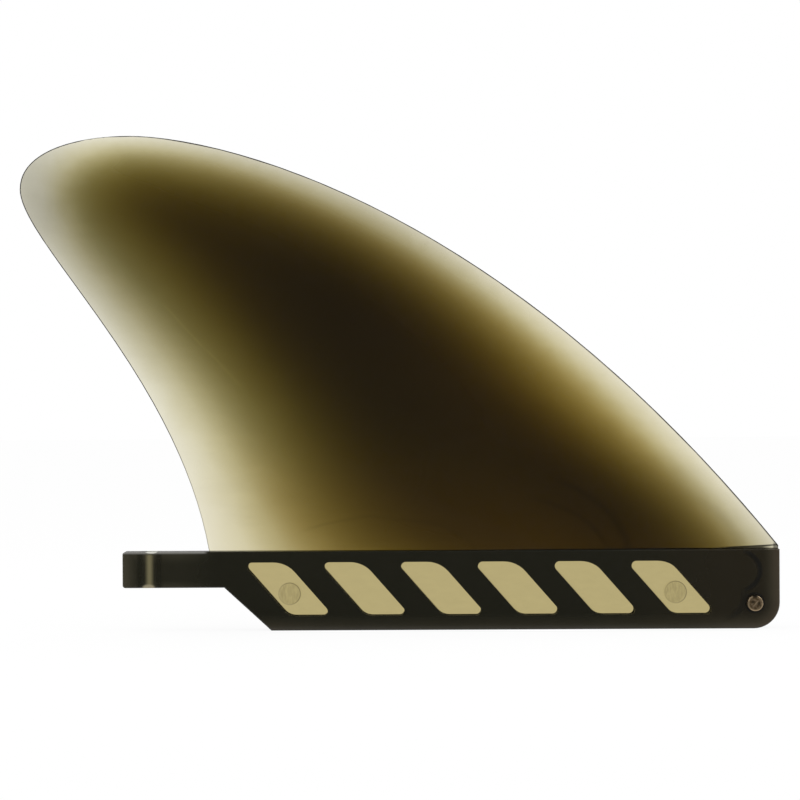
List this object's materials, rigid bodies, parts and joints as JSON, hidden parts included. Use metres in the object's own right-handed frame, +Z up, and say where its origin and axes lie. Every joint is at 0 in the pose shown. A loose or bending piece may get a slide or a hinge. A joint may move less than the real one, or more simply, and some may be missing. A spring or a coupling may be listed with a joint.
{
  "type": "surfboard fin",
  "caption": "Smoke-tinted moulded surfboard fin: swept foiled blade on a long box base with slanted pockets, a screw tab behind and a brass cross pin in the nose.",
  "frame": {"origin": "axis of the screw hole, at the top face of the base", "axes": "+Z up the blade along the screw hole, +X forwards to the nose of the base, +Y to the fin's left"},
  "size_m": [0.213, 0.016, 0.1392],
  "materials": {
    "smoke_plastic": "polished, translucent smoke tint",
    "pin_brass": "turned, lightly tarnished"
  },
  "bodies": {
    "root": {"fin": "smoke_plastic", "cross_pin": "pin_brass"}
  },
  "joints": []
}
